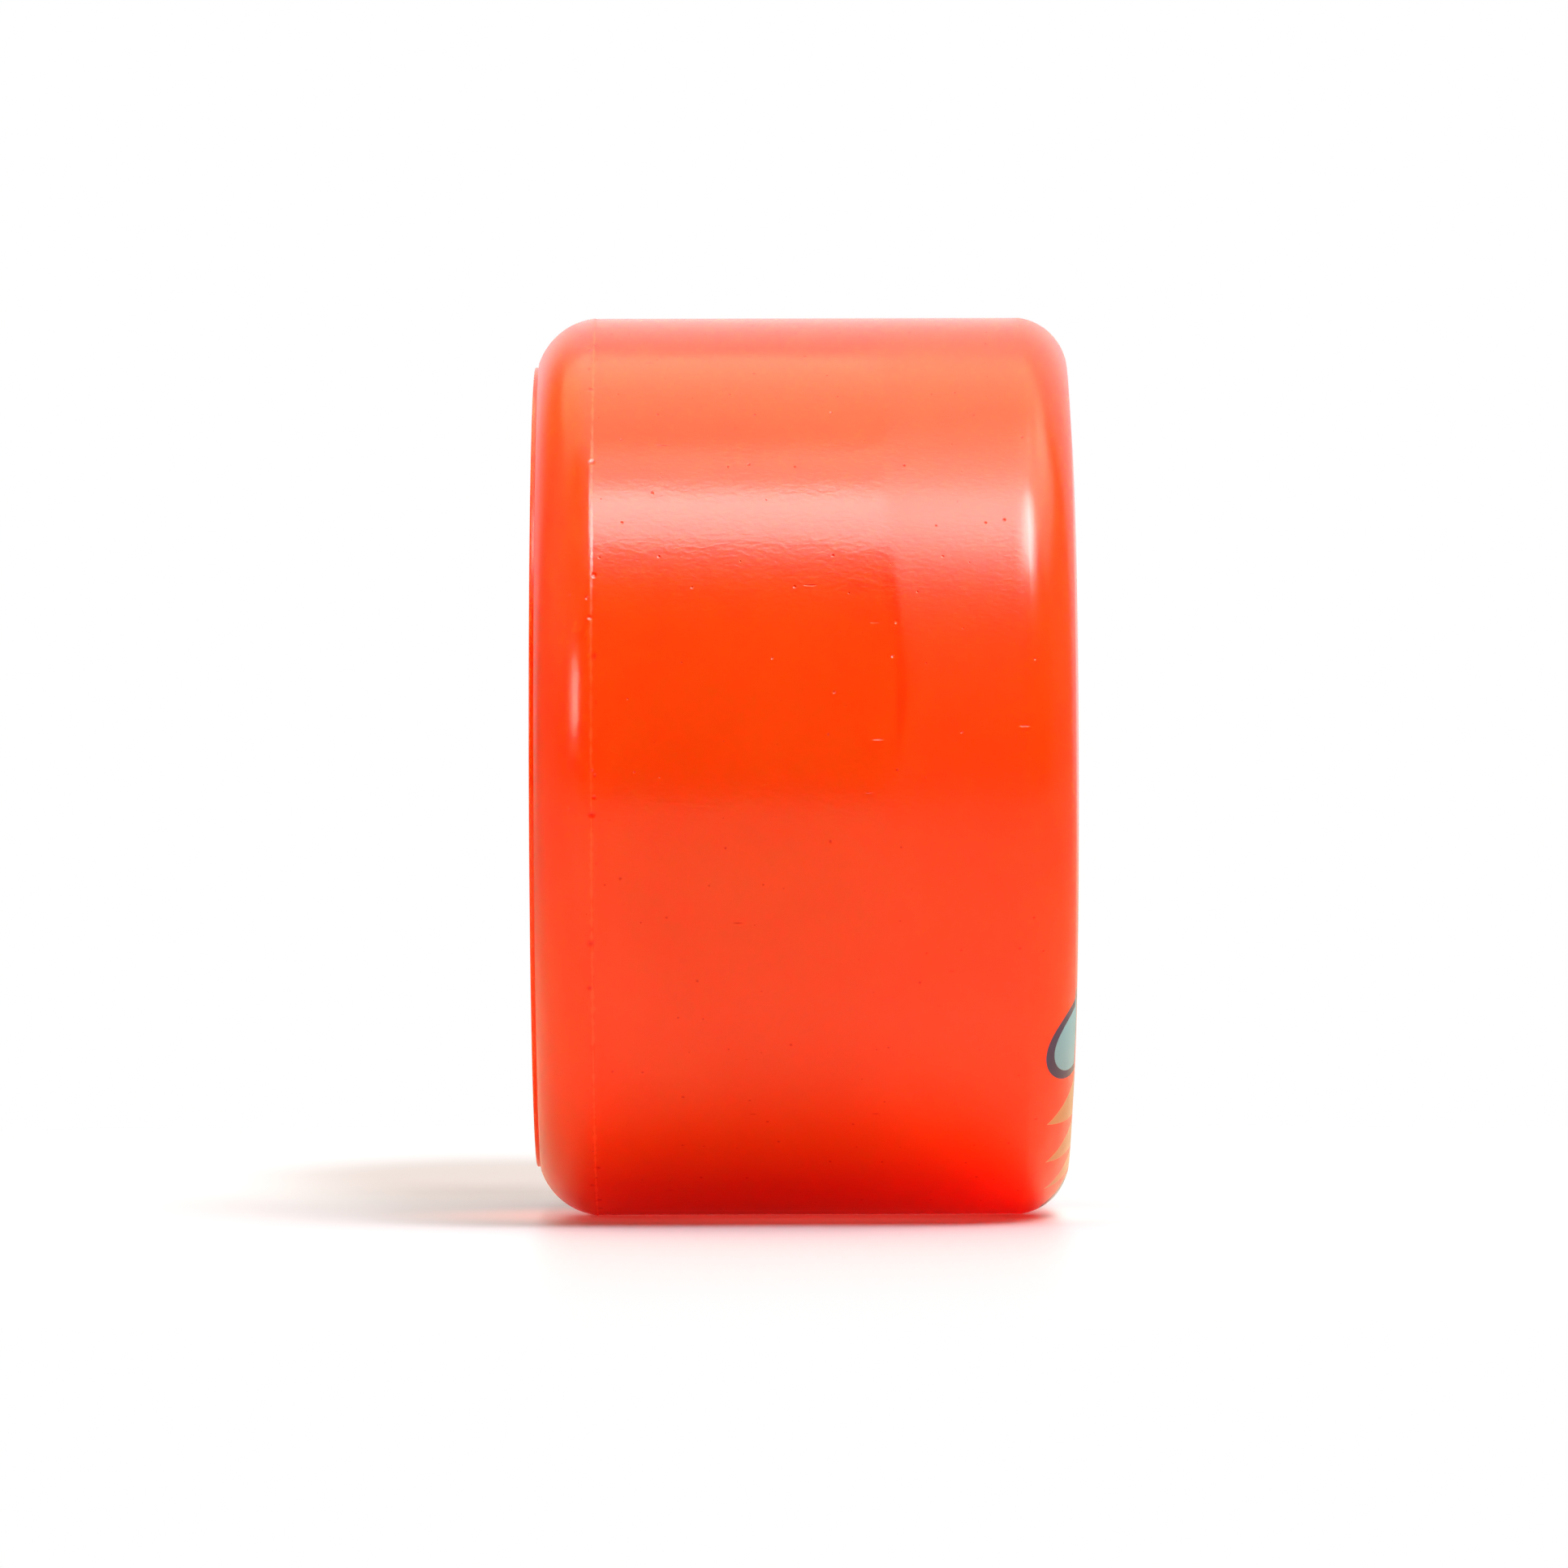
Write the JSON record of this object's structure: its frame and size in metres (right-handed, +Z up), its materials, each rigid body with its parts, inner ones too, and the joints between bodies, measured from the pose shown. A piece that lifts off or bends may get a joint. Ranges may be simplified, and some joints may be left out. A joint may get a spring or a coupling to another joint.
{
  "type": "longboard wheel",
  "caption": "Cast urethane longboard wheel with rounded shoulders on an offset spoked core, running on shielded ball bearings with a spacer between them, bored for a skateboard truck's axle.",
  "frame": {"origin": "on the axle, halfway between the two side faces", "axes": "+Y along the axle out of the printed front face, -Y towards the truck, +Z up"},
  "size_m": [0.07, 0.0416, 0.07],
  "materials": {
    "urethane": "satin cast polyurethane, ground on the tread, a little translucent",
    "core_nylon": "injection-moulded nylon",
    "spacer_aluminium": "turned",
    "race_steel": "ground bearing steel",
    "ball_steel": "polished bearing steel",
    "cage_nylon": "moulded nylon",
    "shield_steel": "pressed steel sheet",
    "snap_steel": "spring wire"
  },
  "bodies": {
    "axle_set": {"front_inner_race": "race_steel", "bearing_spacer": "spacer_aluminium", "back_inner_race": "race_steel"},
    "wheel": {"urethane_tyre": "urethane", "hub_core": "core_nylon", "front_outer_race": "race_steel", "front_outboard_shield": "shield_steel", "front_outboard_snap_ring": "snap_steel", "front_inboard_shield": "shield_steel", "front_inboard_snap_ring": "snap_steel", "back_outer_race": "race_steel", "back_outboard_shield": "shield_steel", "back_outboard_snap_ring": "snap_steel", "back_inboard_shield": "shield_steel", "back_inboard_snap_ring": "snap_steel"},
    "front_ball_set": {"front_balls": "ball_steel", "front_ball_cage": "cage_nylon"},
    "back_ball_set": {"back_balls": "ball_steel", "back_ball_cage": "cage_nylon"}
  },
  "joints": [
    {"name": "wheel_spin", "type": "hinge", "parent": "axle_set", "child": "wheel", "pos_m": [0, 0, 0], "axis": [0, 1, 0], "continuous": true},
    {"name": "front_ball_orbit", "type": "hinge", "parent": "axle_set", "child": "front_ball_set", "pos_m": [0, 0.0055, 0], "axis": [0, 1, 0], "continuous": true},
    {"name": "back_ball_orbit", "type": "hinge", "parent": "axle_set", "child": "back_ball_set", "pos_m": [0, -0.0115, 0], "axis": [0, 1, 0], "continuous": true}
  ],
  "couplings": [
    {"joint": "front_ball_orbit", "follows": "wheel_spin", "ratio": 0.6323},
    {"joint": "back_ball_orbit", "follows": "wheel_spin", "ratio": 0.6323}
  ]
}
